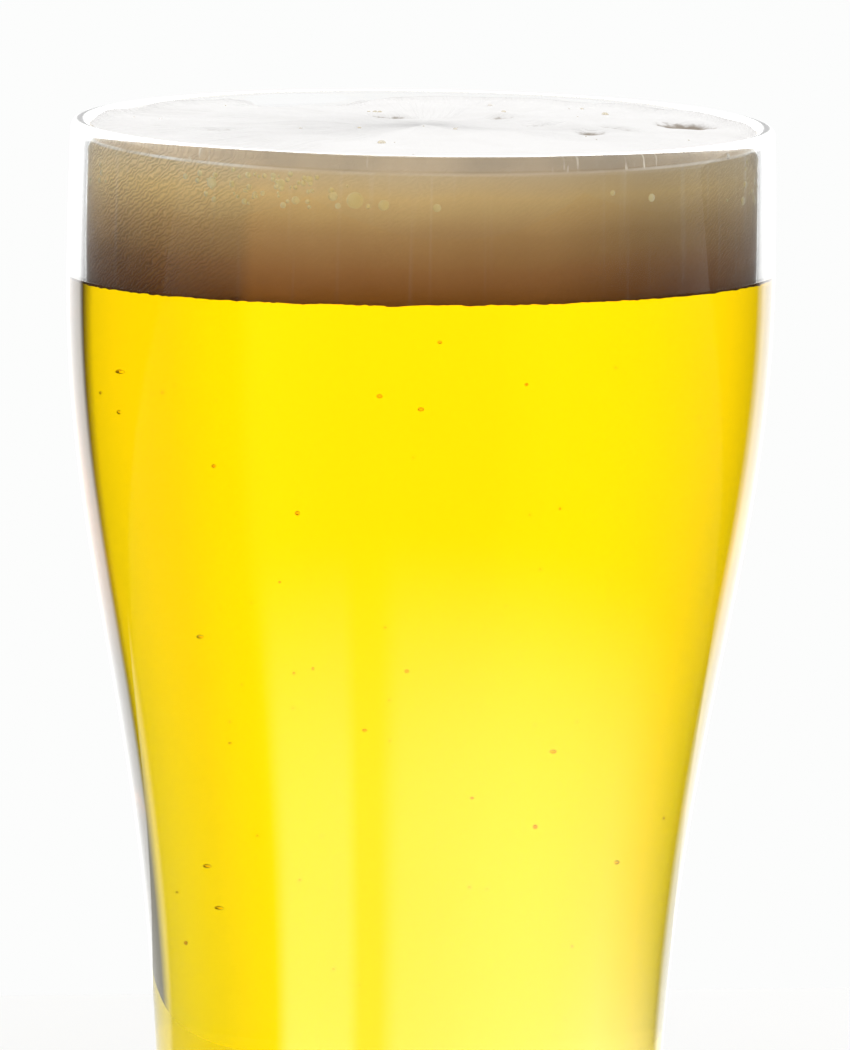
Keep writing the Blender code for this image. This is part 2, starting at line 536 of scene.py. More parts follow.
def mixed(tree, factor, first, second):
    """Output of a colour Mix node."""
    made = add_node(tree, "ShaderNodeMix", data_type="RGBA", clamp_factor=True)
    feed(tree, made.inputs["Factor"], factor)
    for socket, value in ((made.inputs[6], first), (made.inputs[7], second)):
        feed(tree, socket, grey(value) if isinstance(value, (int, float)) else value)
    return made.outputs[2]


def grain(tree, vector, scale, detail=2.0, roughness=0.5):
    """Value of a Noise texture."""
    values = {"Vector": vector, "Scale": scale, "Detail": detail, "Roughness": roughness}
    return fed_node(tree, "ShaderNodeTexNoise", values).outputs["Fac"]


def cells(tree, vector, scale):
    """Distance of a smooth Voronoi texture."""
    values = {"Vector": vector, "Scale": scale, "Smoothness": 0.4}
    return fed_node(tree, "ShaderNodeTexVoronoi", values, feature="SMOOTH_F1").outputs["Distance"]


def split(tree, vector):
    """The X, Y and Z of a vector."""
    return fed_node(tree, "ShaderNodeSeparateXYZ", {"Vector": vector}).outputs


def joined(tree, x=None, y=None, z=None):
    """Vector from its parts."""
    return fed_node(tree, "ShaderNodeCombineXYZ", {"X": x, "Y": y, "Z": z}).outputs[0]


def stretched(tree, vector, scale, turn=0.0):
    """Vector scaled, and turned about the axis that points into the wall."""
    values = {"Vector": vector, "Rotation": (0.0, turn, 0.0), "Scale": scale}
    return fed_node(tree, "ShaderNodeMapping", values).outputs[0]


def object_place(tree):
    """Object coordinates."""
    return add_node(tree, "ShaderNodeTexCoord").outputs["Object"]


def colour(values):
    """Four-channel colour from three."""
    return (values[0], values[1], values[2], 1.0)


def grey(value):
    """Four-channel grey."""
    return (value, value, value, 1.0)


def new_material(name):
    """Material with a Principled shader, its tree and the shader."""
    material = bpy.data.materials.new(name)
    material.use_nodes = True
    tree = material.node_tree
    return material, tree, tree.nodes["Principled BSDF"]


def add_bump(tree, shader, strength, distance, height):
    """Bump in a shader's normal."""
    values = {"Strength": strength, "Distance": distance, "Height": height}
    feed(tree, shader.inputs["Normal"], fed_node(tree, "ShaderNodeBump", values).outputs[0])


def new_group(name, kind, inputs, outputs):
    """Node group with named sockets, what it is given and what it has to feed."""
    tree = bpy.data.node_groups.new(name, kind)
    for direction, sockets in (("INPUT", inputs), ("OUTPUT", outputs)):
        for label, socket_kind in sockets.items():
            tree.interface.new_socket(label, in_out=direction, socket_type="NodeSocket" + socket_kind)
    given = add_node(tree, "NodeGroupInput").outputs
    return tree, given, add_node(tree, "NodeGroupOutput").inputs


def wall_coordinates():
    """Group that unrolls the round wall: distance around, height, and shares of the foam's height."""
    known = bpy.data.node_groups.get("Unrolled wall")
    if known:
        return known
    tree, given, result = new_group(
        "Unrolled wall",
        "ShaderNodeTree",
        {"Object": "Vector", "Upward stretch": "Float"},
        {"Unrolled": "Vector", "Angle": "Float", "Foam share": "Float", "Above edge": "Float"},
    )
    place = given["Object"]
    parts = split(tree, place)
    backwards = maths(tree, "MULTIPLY", parts["Y"], -1.0)
    angle = maths(tree, "ARCTAN2", parts["X"], backwards)
    around = maths(tree, "MULTIPLY", angle, BELLY_RADIUS)
    upward = maths(tree, "MULTIPLY", parts["Z"], given["Upward stretch"])
    rise = vector_maths(tree, "DOT_PRODUCT", place, (LEVEL_RISE_TO_RIGHT, -LEVEL_RISE_TO_FRONT, 0.0))
    level = maths(tree, "ADD", rise, LEVEL)
    edge = maths(tree, "MULTIPLY_ADD", parts["Y"], EDGE_DROP_TO_FRONT, HEIGHT - EDGE_DROP)
    above_level = maths(tree, "SUBTRACT", parts["Z"], level)
    depth = maths(tree, "SUBTRACT", edge, level)
    feed(tree, result["Unrolled"], joined(tree, x=around, z=upward))
    feed(tree, result["Angle"], angle)
    feed(tree, result["Foam share"], maths(tree, "DIVIDE", above_level, depth))
    feed(tree, result["Above edge"], maths(tree, "SUBTRACT", parts["Z"], edge))
    return tree


def unrolled(tree, upward_stretch=1.0):
    """Node that reads the wall's own coordinates from the object's, and the object's."""
    place = object_place(tree)
    values = {"Object": place, "Upward stretch": upward_stretch}
    return fed_node(tree, "ShaderNodeGroup", values, node_tree=wall_coordinates()), place


# Materials

def glass_material(settings, name="clear_pint_glass", mirrors=True):
    """Clear polished glass with faint waves. A pale glow is painted into its rim: the glass there gives off
    light of its own, standing in for light caught in the rim.

    Where beer or foam wets the wall, it hardly mirrors.
    """
    material, tree, shader = new_material(name)
    wall_place, place = unrolled(tree, 0.35)
    shader.inputs["Transmission Weight"].default_value = 1.0
    shader.inputs["IOR"].default_value = 1.5
    shader.inputs["Roughness"].default_value = 0.0
    if not mirrors:
        shader.inputs["Specular Tint"].default_value = grey(0.0)
    height = split(tree, place)["Z"]
    foot = spread(tree, height, 0.030, 0.012)
    smear = grain(tree, place, 45.0, 3.0)
    tint = mixed(tree, spread(tree, smear, 0.35, 0.75), colour(settings.tint), 1.0)
    tint = mixed(tree, foot, tint, (0.86, 0.90, 0.88, 1.0))
    feed(tree, shader.inputs["Base Color"], tint)
    waves = grain(tree, wall_place.outputs["Unrolled"], 60.0, 1.0)
    add_bump(tree, shader, settings.waviness, 0.001, waves)
    # Painted glow: high up, the glass gives off a pale light of its own for rays that have been mirrored
    # inside it
    path = add_node(tree, "ShaderNodeLightPath")
    reflections = spread(tree, height, RIM_ZONE_STARTS, RIM_ZONE_FULL, 1.5, 0.5)
    caught = maths(tree, "GREATER_THAN", path.outputs["Glossy Depth"], reflections)
    caught = maths(tree, "MULTIPLY", caught, spread(tree, height, GLOW_STARTS, GLOW_FULL))
    unscattered = maths(tree, "LESS_THAN", path.outputs["Diffuse Depth"], 0.5)
    caught = maths(tree, "MULTIPLY", caught, unscattered)
    feed(tree, shader.inputs["Emission Color"], mixed(tree, caught, (0.0, 0.0, 0.0, 1.0), PAINTED_RIM_GLOW))
    material.cycles.emission_sampling = "NONE"
    shader.inputs["Emission Strength"].default_value = 1.0
    return material


def beer_material(settings):
    """Clear golden beer that takes up light on its way through, with painted shade that makes it a little
    darker lower down.
    """
    material, tree, shader = new_material("golden_beer")
    wall_place, place = unrolled(tree, 0.05)
    shader.inputs["Transmission Weight"].default_value = 1.0
    shader.inputs["IOR"].default_value = 1.34
    shader.inputs["Roughness"].default_value = 0.0
    shader.inputs["Specular Tint"].default_value = grey(0.0)
    height = split(tree, place)["Z"]
    streaks = grain(tree, wall_place.outputs["Unrolled"], 130.0, 2.0)
    # Painted shade: the beer's colour is made darker towards the bottom
    shade = spread(tree, height, 0.040, LEVEL, settings.lower_shade, 1.0, smooth=False)
    shade = maths(tree, "MULTIPLY", shade, spread(tree, streaks, 0.3, 0.7, 0.985, 1.0))
    feed(tree, shader.inputs["Base Color"], mixed(tree, shade, (0.0, 0.0, 0.0, 1.0), (1.0, 1.0, 1.0, 1.0)))
    depth = add_node(tree, "ShaderNodeVolumeAbsorption")
    depth.inputs["Color"].default_value = colour(settings.colour)
    depth.inputs["Density"].default_value = settings.density
    output = tree.nodes["Material Output"]
    tree.links.new(depth.outputs[0], output.inputs["Volume"])
    return material


def beer_bubble_material():
    """Gas bubbles, seen as small darker beads in the beer."""
    material, tree, shader = new_material("bubble_in_beer")
    shader.inputs["Transmission Weight"].default_value = 1.0
    shader.inputs["IOR"].default_value = 1.47
    shader.inputs["Roughness"].default_value = 0.0
    place = object_place(tree)
    tone = spread(tree, grain(tree, place, 90.0), 0.3, 0.7)
    paint = mixed(tree, tone, (0.95, 0.62, 0.05, 1.0), (1.0, 0.85, 0.3, 1.0))
    feed(tree, shader.inputs["Base Color"], paint)
    return material


def foam_material(settings):
    """Fine foam: nearly white on top, with painted shade down the side from grey-brown to dark brown, and
    with ridges and bubbles.
    """
    material, tree, shader = new_material("beer_foam")
    wall_place, place = unrolled(tree, 1.0)
    flat = wall_place.outputs["Unrolled"]
    angle = maths(tree, "MULTIPLY", wall_place.outputs["Angle"], 180 / math.pi)
    above_edge = wall_place.outputs["Above edge"]
    # Painted shade down the side, from grey-brown at the top edge to dark brown just above the beer; part of
    # the brown is the beer's own colour
    ramp = add_node(tree, "ShaderNodeValToRGB")
    stops = (
        (0.02, settings.bottom_colour),
        (0.24, settings.low_colour),
        (0.53, settings.middle_colour),
        (0.80, settings.upper_colour),
        (0.97, settings.edge_colour),
    )
    points = ramp.color_ramp.elements
    while len(points) < len(stops):
        points.new(0.5)
    for point, (position, value) in zip(points, stops):
        point.position = position
        point.color = colour(value)
    uneven = grain(tree, flat, 90.0, 4.0)
    lift = maths(tree, "MULTIPLY", maths(tree, "SUBTRACT", uneven, 0.5), 0.12)
    share = maths(tree, "ADD", lift, wall_place.outputs["Foam share"])
    feed(tree, ramp.inputs["Fac"], share)
    # Painted light and shade by angle around the side, darker low down on the left
    high_tone = angle_curve(tree, angle, FOAM_PAINTED_LIGHT_AND_SHADE)
    shade = spread(tree, angle, LOW_SHADE_STARTS, LOW_SHADE_FULL, 1.0, LOW_SHADE)
    low_tone = maths(tree, "MULTIPLY", high_tone, shade)
    tone = spread(tree, share, 0.20, 0.58, low_tone, high_tone)
    side = vector_maths(tree, "SCALE", ramp.outputs["Color"], scale=tone)

    ridge_place = stretched(tree, flat, (0.8, 1.0, 1.0), math.radians(36))
    values = {"Vector": ridge_place, "Scale": 640.0, "Distortion": 8.0, "Detail": 1.0, "Detail Scale": 1.6}
    ridges = fed_node(tree, "ShaderNodeTexWave", values, bands_direction="Z").outputs["Fac"]
    patchy = spread(tree, grain(tree, flat, 160.0), 0.3, 0.7, 0.5, 1.0)
    ridge_share = maths(tree, "MULTIPLY", angle_curve(tree, angle, FOAM_RIDGES), patchy)
    # Painted light and shade on the ridges' slopes, along with their bump
    relief = maths(tree, "MULTIPLY", maths(tree, "SUBTRACT", ridges, 0.5), ridge_share)
    shade = maths(tree, "MULTIPLY_ADD", relief, 0.50, 1.0)
    side = vector_maths(tree, "SCALE", side, scale=shade)

    # Painted light: pale vertical streaks, and a greyer, paler tone towards the left and right edges of the
    # side
    streak_place = stretched(tree, flat, (1.0, 1.0, 0.03))
    streaks = spread(tree, grain(tree, streak_place, 520.0, 2.0, 0.6), 0.56, 0.74)
    greyness = angle_curve(tree, angle, FOAM_GREYNESS)
    streak_share = maths(tree, "MULTIPLY_ADD", greyness, 0.55, 0.08)
    lightness = add_node(tree, "ShaderNodeSeparateColor")
    feed(tree, lightness.inputs[0], side)
    greyed = vector_maths(tree, "SCALE", (0.92, 0.88, 0.74), scale=lightness.outputs["Red"])
    side = mixed(tree, greyness, side, greyed)
    pale = vector_maths(tree, "SCALE", (1.5, 1.5, 1.45), scale=lightness.outputs["Red"])
    side = mixed(tree, maths(tree, "MULTIPLY", streaks, streak_share), side, pale)

    # Film of foam on the wall above the edge, with pale drips; its brown-grey colour is painted shade, and
    # its tone by angle is painted light and shade
    dash_place = stretched(tree, flat, (1.0, 1.0, 0.22))
    dashes = spread(tree, grain(tree, dash_place, 900.0), 0.60, 0.72)
    patches = spread(tree, grain(tree, place, 75.0, 1.0), 0.45, 0.62)
    film_tone = maths(tree, "MULTIPLY", high_tone, spread(tree, uneven, 0.3, 0.7, 0.85, 1.15))
    film = vector_maths(tree, "SCALE", tuple(settings.film_colour), scale=film_tone)
    film = mixed(tree, maths(tree, "MULTIPLY", dashes, patches), film, (0.90, 0.84, 0.70, 1.0))
    side = mixed(tree, spread(tree, above_edge, -0.0001, 0.00025), side, film)
    # Painted highlight: a thin bright line along the foam's edge against the wall, standing in for glints on
    # its small bubbles
    line = maths(
        tree,
        "MULTIPLY",
        spread(tree, above_edge, -0.00030, -0.00008),
        spread(tree, above_edge, 0.00022, 0.00004),
    )
    line = maths(tree, "MULTIPLY", line, spread(tree, grain(tree, place, 160.0, 2.0), 0.3, 0.65, 0.3, 1.0))
    line = maths(tree, "MULTIPLY", line, angle_curve(tree, angle, FOAM_CONTACT_HIGHLIGHT))
    side = mixed(tree, line, side, (0.95, 0.92, 0.86, 1.0))

    crown = add_node(tree, "ShaderNodeAttribute", attribute_name="crown")
    top_mask = spread(tree, crown.outputs["Fac"], 0.2, 0.9)
    # Painted shade: the hollows and fine pits on top are darker
    pit = add_node(tree, "ShaderNodeAttribute", attribute_name="hollow")
    speckle = grain(tree, place, 900.0, 2.0)
    hollow = spread(tree, maths(tree, "MULTIPLY_ADD", speckle, 0.9, pit.outputs["Fac"]), 0.72, 1.15)
    faint = spread(tree, grain(tree, place, 170.0, 3.0), 0.45, 0.7, 0.0, 0.06)
    top = mixed(tree, faint, colour(settings.top_colour), (0.55, 0.52, 0.47, 1.0))
    top = mixed(tree, hollow, top, colour(settings.pit_colour))
    feed(tree, shader.inputs["Base Color"], mixed(tree, top_mask, side, top))
    shader.inputs["Roughness"].default_value = 0.75
    shader.inputs["Specular IOR Level"].default_value = 0.3

    small = cells(tree, place, 1500.0)
    height = maths(tree, "MULTIPLY_ADD", relief, 0.9, maths(tree, "MULTIPLY", small, 0.2))
    add_bump(tree, shader, 0.6, 0.0003, height)
    return material


def foam_bubble_material():
    """Larger bubbles in the foam: thin wet skins."""
    material, tree, shader = new_material("foam_bubble")
    place = object_place(tree)
    tone = spread(tree, grain(tree, place, 220.0), 0.35, 0.65)
    paint = mixed(tree, tone, (0.80, 0.70, 0.48, 1.0), (0.95, 0.90, 0.80, 1.0))
    feed(tree, shader.inputs["Base Color"], paint)
    shader.inputs["Roughness"].default_value = 0.12
    shader.inputs["Alpha"].default_value = 0.55
    return material


def wall_bubble_material():
    """Bubbles pressed against the wall: yellowish skins over the foam behind, painted lighter to make up for
    the shade they cast on it, with a highlight painted on their paler edges.
    """
    material, tree, shader = new_material("wall_bubble")
    place = object_place(tree)
    # Painted highlight: the edges of each bubble are paler
    edge = add_node(tree, "ShaderNodeLayerWeight")
    edge.inputs["Blend"].default_value = 0.35
    tone = spread(tree, grain(tree, place, 300.0), 0.35, 0.65)
    skin = mixed(tree, tone, (0.97, 0.76, 0.28, 1.0), (1.0, 0.86, 0.42, 1.0))
    paint = mixed(tree, edge.outputs["Facing"], skin, (1.0, 0.95, 0.75, 1.0))
    feed(tree, shader.inputs["Base Color"], paint)
    shader.inputs["Roughness"].default_value = 0.3
    shader.inputs["Alpha"].default_value = 0.6
    return material


def table_material(settings):
    """Pale table with a barely uneven finish. A glow is painted into it: for rays that the glass mirrors it
    gives off light of its own, brightest near the glass's foot, and seen through the beer it gives off a
    little light too.
    """
    material, tree, shader = new_material("pale_table")
    place = object_place(tree)
    right, back, _ = split(tree, place)
    path = add_node(tree, "ShaderNodeLightPath")
    polished = maths(tree, "MULTIPLY", path.outputs["Is Glossy Ray"], path.outputs["Is Reflection Ray"])
    patches = spread(tree, grain(tree, place, 3.0, 2.0), 0.3, 0.7)
    paint = mixed(tree, patches, colour(settings.table_colour), (0.93, 0.93, 0.925, 1.0))
    feed(tree, shader.inputs["Base Color"], mixed(tree, polished, paint, 0.0))
    shader.inputs["Roughness"].default_value = 0.5
    shader.inputs["Specular IOR Level"].default_value = 0.0
    # Painted glow: for rays that the glass mirrors the table is black and gives off light of its own,
    # brightest near the glass, warm in front and bright far behind; seen through the beer it gives off a
    # little light too
    around = degrees_around(tree, right, maths(tree, "MULTIPLY", back, -1.0))
    flat = vector_maths(tree, "MULTIPLY", place, (1.0, 1.0, 0.0))
    near = spread(tree, vector_maths(tree, "LENGTH", flat), FLOOR_FAR, FLOOR_NEAR, smooth=False)
    before = angle_curve(tree, around, FLOOR_BEFORE)
    glow = vector_maths(tree, "SCALE", (3.4, 3.4, 3.2), scale=maths(tree, "POWER", near, 3.0))
    glow = vector_maths(tree, "SCALE", glow, scale=before)
    warmth = angle_curve(tree, around, MIRRORED_ROOM)
    warm = vector_maths(tree, "SCALE", tuple(settings.warm_light), scale=warmth)
    glow = vector_maths(tree, "ADD", glow, warm)
    behind = vector_maths(tree, "SCALE", (1.0, 1.0, 0.97), scale=angle_curve(tree, around, FLOOR_BEHIND))
    glow = vector_maths(tree, "ADD", glow, behind)
    lift = settings.back_light * 0.2
    feed(tree, shader.inputs["Emission Color"], mixed(tree, polished, lift, glow))
    material.cycles.emission_sampling = "NONE"
    glows = maths(tree, "MAXIMUM", through_beer(tree, path), polished)
    feed(tree, shader.inputs["Emission Strength"], glows)
    return material


# Pieces

def finished(name, mesh, material):
    """Object at the origin with its mesh and material, linked into the scene."""
    mesh.materials.clear()
    mesh.materials.append(material)
    piece = bpy.data.objects.new(name, mesh)
    bpy.context.scene.collection.objects.link(piece)
    return piece


def run_tree(name, mesh, tree, values):
    """Mesh that a node tree makes from another mesh."""
    carrier = bpy.data.objects.new(name + "_carrier", mesh)
    bpy.context.scene.collection.objects.link(carrier)
    modifier = carrier.modifiers.new(name, "NODES")
    modifier.node_group = tree
    sockets = {item.name: item.identifier for item in tree.interface.items_tree if item.in_out == "INPUT"}
    for label, value in values.items():
        modifier[sockets[label]] = value
    graph = bpy.context.evaluated_depsgraph_get()
    made = bpy.data.meshes.new_from_object(carrier.evaluated_get(graph), depsgraph=graph)
    made.name = name
    carrier.modifiers.remove(modifier)
    bpy.data.objects.remove(carrier)
    if not made.polygons:
        raise RuntimeError(name + " came out empty")
    return made


def require_closed(mesh, name):
    """Raises an error unless the mesh is closed and faces outwards."""
    body = bmesh.new()
    body.from_mesh(mesh)
    open_edges = sum(1 for edge in body.edges if len(edge.link_faces) != 2)
    volume = body.calc_volume(signed=True)
    body.free()
    if open_edges or volume <= 0:
        raise RuntimeError(f"{name} has {open_edges} open edges and a volume of {volume}")


def finish_tree(tree, geometry, given, result):
    """Ends a tree with real geometry, smooth faces and the material."""
    for kind in ("GeometryNodeRealizeInstances", "GeometryNodeSetShadeSmooth"):
        geometry = fed_node(tree, kind, {"Geometry": geometry}).outputs[0]
    values = {"Geometry": geometry, "Material": given["Material"]}
    feed(tree, result[0], fed_node(tree, "GeometryNodeSetMaterial", values).outputs[0])


def turning_tree():
    """Tree that turns a half section about the axis and then lets its top follow a sloping level."""
    known = bpy.data.node_groups.get("Turned body")
    if known:
        return known
    inputs = {
        "Half section": "Geometry",
        "Segments": "Int",
        "Slope": "Vector",
        "Slope starts": "Float",
        "Slope ends": "Float",
        "Material": "Material",
    }
    tree, given, result = new_group("Turned body", "GeometryNodeTree", inputs, {"Body": "Geometry"})
    section = fed_node(tree, "GeometryNodeMeshToCurve", {"Mesh": given["Half section"]}).outputs[0]
    sizes = {"Resolution": given["Segments"], "Radius": TURNING_CORE}
    circle = fed_node(tree, "GeometryNodeCurvePrimitiveCircle", sizes).outputs[0]
    curves = {"Curve": circle, "Profile Curve": section}
    swept = fed_node(tree, "GeometryNodeCurveToMesh", curves).outputs[0]
    closing = {"Geometry": swept, "Distance": SEAM_DISTANCE}
    body = fed_node(tree, "GeometryNodeMergeByDistance", closing).outputs[0]
    place = add_node(tree, "GeometryNodeInputPosition").outputs[0]
    weight = spread(tree, split(tree, place)["Z"], given["Slope starts"], given["Slope ends"])
    rise = vector_maths(tree, "DOT_PRODUCT", place, given["Slope"])
    offset = joined(tree, z=maths(tree, "MULTIPLY", weight, rise))
    moved = fed_node(tree, "GeometryNodeSetPosition", {"Geometry": body, "Offset": offset}).outputs[0]
    finish_tree(tree, moved, given, result)
    return tree


def turned_piece(name, profile, segments, material, slope, sharp_degrees):
    """Closed piece turned from a half section that starts and ends on the axis."""
    section = bpy.data.meshes.new(name + "_section")
    corners = [(radius - TURNING_CORE, -height, 0.0) for radius, height in reversed(profile)]
    section.from_pydata(corners, [(step, step + 1) for step in range(len(corners) - 1)], [])
    values = {
        "Segments": segments,
        "Slope": slope,
        "Slope starts": LEVEL - 0.030,
        "Slope ends": LEVEL,
        "Material": material,
    }
    mesh = run_tree(name, section, turning_tree(), values)
    bpy.data.meshes.remove(section)
    mesh.set_sharp_from_angle(angle=math.radians(sharp_degrees))
    require_closed(mesh, name)
    return finished(name, mesh, material)


def part_the_wall(mesh, wetted):
    """Gives the inner faces that beer or foam wets their own material."""
    mesh.materials.append(wetted)
    for face in mesh.polygons:
        x, y, z = face.center
        inner_half = math.hypot(x, y) < outer_radius(z) - wall(z) / 2
        if UNDERSIDE_HOLLOW < z < edge_at(y) and inner_half and z > FLOOR_HEIGHT / 2:
            face.material_index = 1


def drawn_value(tree, given, seed_step, power, lowest, highest):
    """Random value between two named inputs, nearer to the lowest for a high power."""
    seed = maths(tree, "ADD", given["Seed"], seed_step)
    draw = fed_node(tree, "FunctionNodeRandomValue", {"Seed": seed}, data_type="FLOAT")
    value = maths(tree, "POWER", draw.outputs[1], power)
    return spread(tree, value, 0.0, 1.0, given[lowest], given[highest], smooth=False)


def balls(tree, points, segments, rings, rotation, scale):
    """A ball on each point, turned and scaled."""
    sizes = {"Radius": 1.0, "Segments": segments, "Rings": rings}
    ball = fed_node(tree, "GeometryNodeMeshUVSphere", sizes).outputs["Mesh"]
    values = {"Points": points, "Instance": ball, "Rotation": rotation, "Scale": scale}
    return fed_node(tree, "GeometryNodeInstanceOnPoints", values).outputs[0]


def scattering_tree():
    """Tree that scatters small balls over a surface and in towards the axis."""
    known = bpy.data.node_groups.get("Scattered bubbles")
    if known:
        return known
    inputs = {"Surface": "Geometry", "Density": "Float", "Seed": "Int"}
    for name in ("Lowest", "Highest", "Inmost share", "Outmost share", "Smallest radius", "Largest radius"):
        inputs[name] = "Float"
    inputs.update({"Flatness": "Float", "Clustering": "Float", "Material": "Material"})
    tree, given, result = new_group("Scattered bubbles", "GeometryNodeTree", inputs, {"Bubbles": "Geometry"})
    place = add_node(tree, "GeometryNodeInputPosition").outputs[0]
    height = split(tree, place)["Z"]
    above = maths(tree, "GREATER_THAN", height, given["Lowest"])
    below = maths(tree, "LESS_THAN", height, given["Highest"])
    crowded = maths(tree, "GREATER_THAN", grain(tree, place, 120.0), given["Clustering"])
    wanted = maths(tree, "MULTIPLY", maths(tree, "MULTIPLY", above, below), crowded)
    density = maths(tree, "MULTIPLY", wanted, given["Density"])
    values = {"Mesh": given["Surface"], "Density": density, "Seed": given["Seed"]}
    points = fed_node(tree, "GeometryNodeDistributePointsOnFaces", values, distribute_method="RANDOM")
    towards = drawn_value(tree, given, 11.0, 0.5, "Inmost share", "Outmost share")
    inwards = vector_maths(tree, "MULTIPLY", place, joined(tree, towards, towards, 1.0))
    values = {"Geometry": points.outputs["Points"], "Position": inwards}
    moved = fed_node(tree, "GeometryNodeSetPosition", values).outputs[0]
    size = drawn_value(tree, given, 23.0, 2.5, "Smallest radius", "Largest radius")
    scale = joined(tree, size, size, maths(tree, "MULTIPLY", size, given["Flatness"]))
    finish_tree(tree, balls(tree, moved, 8, 6, points.outputs["Rotation"], scale), given, result)
    return tree


def placing_tree():
    """Tree that sets a flattened ball on each point, turned to the wall and as large as the point says."""
    known = bpy.data.node_groups.get("Placed bubbles")
    if known:
        return known
    inputs = {"Places": "Geometry", "Half thickness": "Float", "Material": "Material"}
    tree, given, result = new_group("Placed bubbles", "GeometryNodeTree", inputs, {"Bubbles": "Geometry"})
    reader = "GeometryNodeInputNamedAttribute"
    size = fed_node(tree, reader, {"Name": "size"}, data_type="FLOAT").outputs[0]
    outward = fed_node(tree, reader, {"Name": "outward"}, data_type="FLOAT_VECTOR").outputs[0]
    turn = fed_node(tree, "FunctionNodeAlignRotationToVector", {"Vector": outward}, axis="Z")
    scale = joined(tree, size, size, given["Half thickness"])
    finish_tree(tree, balls(tree, given["Places"], 20, 10, turn.outputs[0], scale), given, result)
    return tree


def wall_bubble_places():
    """Mesh of points just inside the wall, each with its size and the way outwards."""
    picker = random.Random(6)
    bubbles = list(WALL_BUBBLES)
    for _ in range(SMALL_WALL_BUBBLES):
        degrees = picker.triangular(-46, -4, -30)
        bubbles.append((degrees, picker.uniform(0.0028, 0.0068), picker.uniform(0.00016, 0.00042)))
    for _ in range(SMALL_WALL_BUBBLES * 2):
        degrees = picker.uniform(60, 300)
        bubbles.append((degrees, picker.uniform(0.0028, 0.0080), picker.uniform(0.00016, 0.00060)))
    points, sizes, directions = [], [], []
    for degrees, drop, radius in bubbles:
        across, along = math.sin(math.radians(degrees)), -math.cos(math.radians(degrees))
        height = HEIGHT - drop
        reach = inner_radius(height) - BUBBLE_GAP - BUBBLE_HALF_THICKNESS
        points.append((across * reach, along * reach, height))
        sizes.append(radius)
        directions.extend((across, along, 0.0))
    mesh = bpy.data.meshes.new("wall_bubble_places")
    mesh.from_pydata(points, [], [])
    mesh.attributes.new("size", "FLOAT", "POINT").data.foreach_set("value", sizes)
    mesh.attributes.new("outward", "FLOAT_VECTOR", "POINT").data.foreach_set("vector", directions)
    return mesh


def foam_mesh(settings):
    """Foam head: ragged lower edge in the beer, side along the wall, lip and uneven top."""
    segments, side_rows, top_rings = 480, 44, 110
    vertices, faces, hollows, crowns = [], [], [], []

    def add_ring(points):
        vertices.extend(points)
        hollows.extend([0.0] * len(points))
        crowns.extend([0.0] * len(points))

    directions = []
    for segment in range(segments):
        angle = 2 * math.pi * segment / segments
        directions.append((math.cos(angle), math.sin(angle)))
    bottom_reach = inner_radius(LEVEL) - FOAM_CLEARANCE
    top_reach = inner_radius(HEIGHT - EDGE_DROP) - FOAM_CLEARANCE
    for share in (0.35, 0.7, 0.9, 0.97):
        ring = []
        for across, along in directions:
            x, y = across * bottom_reach * share, along * bottom_reach * share
            ring.append((x, y, level_at(x, y) - FOAM_SINKS))
        add_ring(ring)
    for row in range(side_rows + 1):
        up = row / side_rows
        ring = []
        for across, along in directions:
            x, y = across * bottom_reach, along * bottom_reach
            low = level_at(x, y) - FOAM_SINKS
            spot = Vector((x, y, 0.0))
            teeth = noise.noise(spot * 900) + 0.8 * noise.noise(spot * 2100) + 0.6 * noise.noise(spot * 300)
            low += settings.ragged * teeth
            high = foam_top(across * top_reach, along * top_reach) + settings.lip_height * lip_share(y)
            height = low + (high - low) * up
            ripple = noise.noise(Vector((x * 420, y * 420, height * 420)))
            reach = inner_radius(height) - FOAM_CLEARANCE - 0.00006 * (1 + ripple)
            ring.append((across * reach, along * reach, height))
        add_ring(ring)
    crowns[-segments:] = [crown_at(along, 0) for _, along in directions]
    for step in range(1, top_rings):
        inward = step / top_rings
        share = 1 - inward ** 1.25
        ring, ring_hollows = [], []
        for across, along in directions:
            reach = top_reach * share
            x, y = across * reach, along * reach
            from_wall = (top_reach - reach) / 0.0016
            lip = settings.lip_height * lip_share(y) * max(0.0, 1 - from_wall) ** 2
            spot = Vector((x, y, 0.0))
            fine = 0.00004 * noise.noise(spot * 700) + 0.00007 * noise.noise(spot * 260)
            ring.append((x, y, foam_top(x, y) + lip + fine))
            ring_hollows.append(min(1.0, hollow_at(x, y, HOLLOWS[1:]) / 0.0011))
        vertices.extend(ring)
        hollows.extend(ring_hollows)
        crowns.extend(crown_at(along, step) for _, along in directions)
    rings = len(vertices) // segments
    for level in range(rings - 1):
        for segment in range(segments):
            ahead = (segment + 1) % segments
            low, high = level * segments, (level + 1) * segments
            faces.append((low + segment, low + ahead, high + ahead, high + segment))
    low_middle = len(vertices)
    vertices.append((0.0, 0.0, LEVEL - FOAM_SINKS))
    vertices.append((0.0, 0.0, foam_top(0.0, 0.0)))
    hollows.extend((0.0, 0.0))
    crowns.extend((0.0, 1.0))
    last = (rings - 1) * segments
    for segment in range(segments):
        ahead = (segment + 1) % segments
        faces.append((low_middle, ahead, segment))
        faces.append((low_middle + 1, last + segment, last + ahead))
    mesh = bpy.data.meshes.new("foam_head")
    mesh.from_pydata(vertices, [], faces)
    for name, values in (("hollow", hollows), ("crown", crowns)):
        attribute = mesh.attributes.new(name, "FLOAT", "POINT")
        attribute.data.foreach_set("value", values)
    mesh.shade_smooth()
    mesh.set_sharp_from_angle(angle=math.radians(70))
    return mesh


def crown_at(along, step):
    """How much a ring is white top: from the edge at the back, a little further in at the front."""
    at_back = min(1.0, max(0.0, (along + 0.25) * 4))
    return max(at_back, min(1.0, max(0.0, (step - 1) / 2)))


def lip_share(y):
    """How much of the lip's full height the foam reaches, most at the front."""
    return 0.55 - 0.40 * y / BELLY_RADIUS


# Operators

